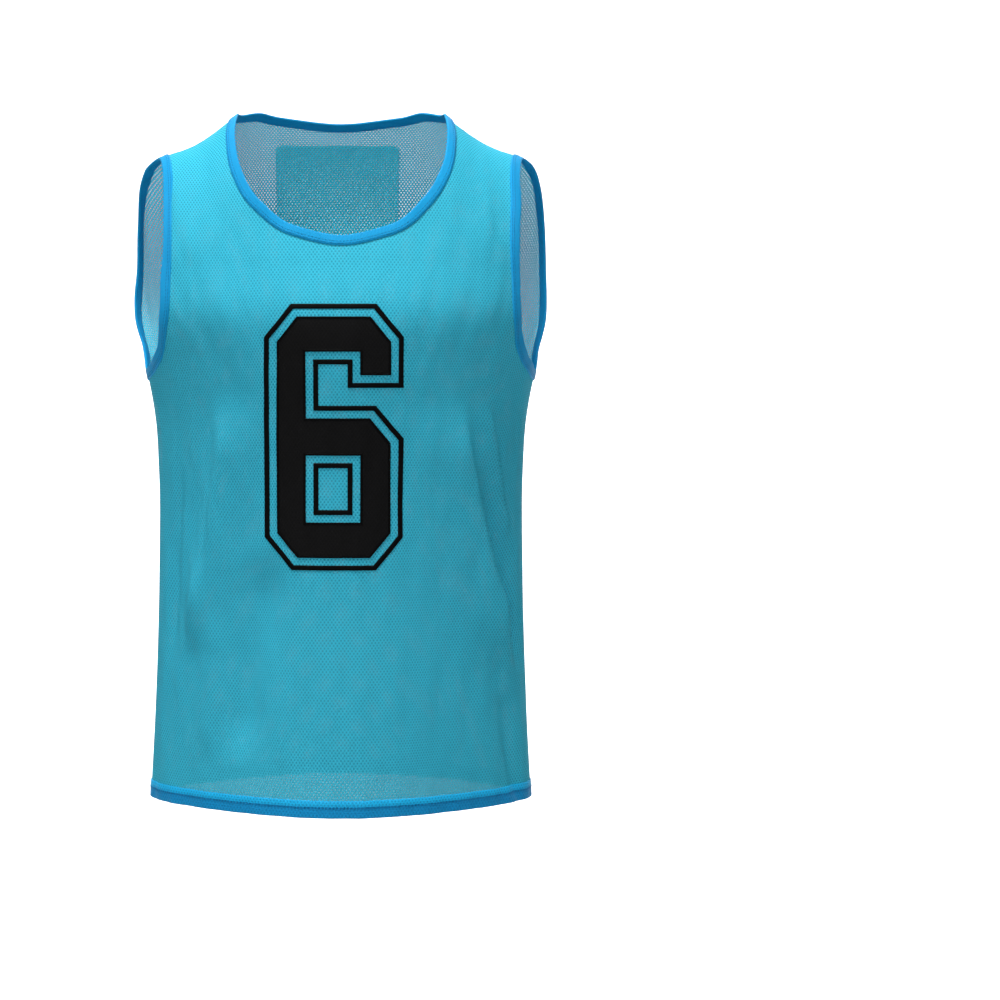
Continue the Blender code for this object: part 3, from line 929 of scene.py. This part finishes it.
# Signed distance to a polygon: the nearest side, negative inside by the even-odd rule
def signedDistance(points, polygon):
    p, a, b = points[:, None], polygon[None], np.roll(polygon, -1, 0)[None]
    t = np.clip(((p - a) * (b - a)).sum(-1) / ((b - a) ** 2).sum(-1), 0, 1)
    away = np.linalg.norm(p - a - (b - a) * t[..., None], axis=-1).min(1)
    crossing = (a[..., 1] > p[..., 1]) != (b[..., 1] > p[..., 1])
    level = np.where(np.abs(b[..., 1] - a[..., 1]) < 1e-9, 1e-9, b[..., 1] - a[..., 1])
    right = p[..., 0] < a[..., 0] + (p[..., 1] - a[..., 1]) * (b[..., 0] - a[..., 0]) / level
    inside = (crossing & right).sum(1) % 2 == 1
    return np.where(inside, -away, away)


# Film cut to a shape: a grid whose points near the outline are pulled onto it, kept where inside
def filmPiece(name, distance, material, k):
    reach = k["gap"] + k["line"] + k["margin"]
    xs = np.arange(-k["halfWide"] - reach, k["halfWide"] + reach, k["cell"])
    ys = np.arange(-k["halfHigh"] - reach, k["halfHigh"] + reach, k["cell"])
    x, y = np.meshgrid(xs, ys)
    points = np.stack([x.ravel(), y.ravel()], -1)
    for _ in range(k["passes"]):
        d = distance(points)
        aside, above = distance(points + (k["probe"], 0)), distance(points + (0, k["probe"]))
        slope = np.stack([aside - d, above - d], -1) / k["probe"]
        close = np.abs(d) < k["cell"] * k["catch"]
        points = points - np.where(close[:, None], slope * d[:, None], 0)
    faces = gridFaces(*x.shape)
    middle = points[faces].mean(1)
    faces = faces[distance(middle) < k["inside"]]
    used = np.unique(faces)
    renumber = np.zeros(len(points), int)
    renumber[used] = np.arange(len(used))
    return layFilm(name, points[used], renumber[faces], k["lift"], material, k)


# Film laid on the front: each flat place, in millimetres, goes to the same x and height on the cloth
def layFilm(name, points, faces, lift, material, k):
    points = points / 1000
    height = k["centre"][1] + points[:, 1]
    angle = angleAt(k["centre"][0] + points[:, 0], height)
    drop = dropOf(angle, height)
    place = form(angle, drop) + outward(angle, drop) * lift
    piece = addMesh(name, place, faces, np.stack(flat[1](angle, drop), -1), material)
    return addWall(piece, k["wall"])


# Bands of film round the outline and the counter: the polygon grown by two distances, joined across.
# Each side of the polygon is split evenly, so its corners stay crisp.
def filmBands(name, inner, outer, lift, material, k):
    points, faces = [], []
    for polygon, sign in ((numberOutline(k), 1), (numberCounter(k), -1)):
        share = np.linspace(0, 1, k["sideSteps"], endpoint=False)[None, :, None]
        rails = []
        for growth in np.linspace(inner, outer, k["bandSteps"]) * sign:
            corner = grown(polygon, growth)
            rails.append(mix(corner[:, None], np.roll(corner, -1, 0)[:, None], share).reshape(-1, 2))
        start = sum(len(some) for some in points)
        ring = gridFaces(len(rails), len(rails[0]), True)
        faces.append((ring if sign > 0 else ring[:, ::-1])[:, ::-1] + start)
        points.append(np.concatenate(rails))
    return layFilm(name, np.concatenate(points), np.concatenate(faces), lift, material, k)


# The figure's body up to the middle of its darker edge, that edge, and the line round it
def numberFilms(k):
    outline, counter = numberOutline(k), numberCounter(k)

    def figure(points):       # inside the outline and outside the counter
        outer, hole = grown(outline, -k["edge"] / 2), grown(counter, k["edge"] / 2)
        return np.maximum(signedDistance(points, outer), -signedDistance(points, hole))

    return [
        filmPiece("number_body", figure, materials["film"], k),
        filmBands("number_edge", -k["edge"], 0, k["lift"] + k["wall"], materials["filmEdge"], k),
        filmBands("number_outline", k["gap"], k["gap"] + k["line"], k["lift"], materials["filmEdge"], k)]


films = numberFilms(numberLook)
print("number ready")


# Floor and backdrop in one: a profile of floor, quarter round and wall, carried sideways
stageLook = {"floor": -1.90, "front": -4.0, "back": 2.6, "round": 1.2, "high": 4.0, "halfWide": 6.0,
             "roundSteps": 24, "columns": 9, "pale": (0.76, 0.76, 0.76), "shade": (0.74, 0.74, 0.74),
             "glow": 1.0, "glowMiddle": 0.3, "glowWide": 3.0, "glowFrom": 0.2,
             "fadeAside": 0.7, "fadeForwards": 0.6}


# The profile's points at each sideways step; the backdrop glows by its own emission, painted light that fades
# out sideways and forwards
def studioStage(look):
    turn = np.linspace(-math.pi / 2, 0, look["roundSteps"])
    bendY = look["back"] - look["round"] + look["round"] * np.cos(turn)
    bendZ = look["floor"] + look["round"] + look["round"] * np.sin(turn)
    y = np.concatenate([[look["front"]], bendY, [look["back"]]])
    z = np.concatenate([[look["floor"]], bendZ, [look["high"]]])
    x = np.linspace(-look["halfWide"], look["halfWide"], look["columns"])
    points = np.stack(np.broadcast_arrays(x[None, :], y[:, None], z[:, None]), -1).reshape(-1, 3)
    mesh = bpy.data.meshes.new("stage")
    mesh.from_pydata(points.tolist(), [], gridFaces(len(y), len(x)).tolist())
    mesh.shade_smooth()
    material, tree, shader = newMaterial("stage", look["pale"], roughness=0.9)
    noise = tree.nodes.new("ShaderNodeTexNoise")
    noise.inputs["Scale"].default_value = 2.0
    place = tree.nodes.new("ShaderNodeTexCoord").outputs["Object"]
    tree.links.new(place, noise.inputs["Vector"])
    tree.links.new(mixColor(tree, noise.outputs["Fac"], look["pale"], look["shade"]),
                   shader.inputs["Base Color"])
    parts = tree.nodes.new("ShaderNodeSeparateXYZ")
    tree.links.new(place, parts.inputs[0])
    # painted light: the backdrop's emission, full behind the bib and fading out sideways and forwards
    aside = mathNode(tree, "ABSOLUTE", mathNode(tree, "SUBTRACT", parts.outputs[0], look["glowMiddle"]))
    wide = mathNode(tree, "SUBTRACT", look["glowWide"], aside)
    wide = mathNode(tree, "MULTIPLY", wide, look["fadeAside"])
    behind = mathNode(tree, "SUBTRACT", parts.outputs[1], look["glowFrom"])
    behind = mathNode(tree, "MULTIPLY", behind, look["fadeForwards"])
    lit = clamped(tree, mathNode(tree, "MINIMUM", wide, behind))
    tree.links.new(mixColor(tree, lit, (0.0, 0.0, 0.0), (1.0, 1.0, 1.0)), shader.inputs["Emission Color"])
    shader.inputs["Emission Strength"].default_value = look["glow"]
    mesh.materials.append(material)
    addObject("stage", mesh)


studioStage(stageLook)


# Lights: broad and high above the front, weak and low before it, one behind; and a pale world
lights = {
    "key": {"place": (-0.35, -0.85, 2.3), "aim": (0, 0, -0.30), "size": 1.0, "power": 108},
    "fill": {"place": (-0.50, -3.00, 0.35), "aim": (0, 0, -0.20), "size": 0.8, "power": 12},
    "behind": {"place": (0.4, 1.7, 1.6), "aim": (0, 0, -0.3), "size": 1.4, "power": 8},
}
worldLook = {"high": 0.62, "low": 0.08, "band": 4.0}     # paler at the horizon than above


# Turns a lamp or the camera, which look down their own -Z, towards a point
def aimAt(item, aim):
    item.rotation_mode = "QUATERNION"
    item.rotation_quaternion = (Vector(aim) - item.location).to_track_quat("-Z", "Y")


for name, look in lights.items():
    lamp = bpy.data.lights.new(name, "AREA")
    lamp.energy, lamp.size = look["power"], look["size"]
    item = addObject(name, lamp)
    item.location = look["place"]
    aimAt(item, look["aim"])

world = bpy.data.worlds.new("paleWorld")
world.use_nodes = True
tree = world.node_tree
turn = tree.nodes.new("ShaderNodeSeparateXYZ")
tree.links.new(tree.nodes.new("ShaderNodeTexCoord").outputs["Generated"], turn.inputs[0])
steep = mathNode(tree, "POWER", mathNode(tree, "MULTIPLY", turn.outputs[2], worldLook["band"]), 2.0)
share = mathNode(tree, "DIVIDE", 1.0, mathNode(tree, "ADD", 1.0, steep))
tree.links.new(mixColor(tree, share, (worldLook["low"],) * 3, (worldLook["high"],) * 3),
               tree.nodes["Background"].inputs["Color"])
bpy.context.scene.world = world
bpy.context.scene.view_settings.view_transform = "Standard"

# Camera: straight on, a little above the middle and looking slightly down
cameraLook = {"eye": (0, -2.2, -0.25), "aim": (0, 0, -0.3835), "fieldWide": 1.0, "shiftX": 0.159}
lens = bpy.data.cameras.new("camera")
camera = addObject("camera", lens)
camera.location = cameraLook["eye"]
aimAt(camera, cameraLook["aim"])
far = (Vector(cameraLook["eye"]) - Vector(cameraLook["aim"])).length
lens.lens = lens.sensor_width * far / cameraLook["fieldWide"]
lens.shift_x = cameraLook["shiftX"]
bpy.context.scene.camera = camera
print("stage, lights and camera ready")
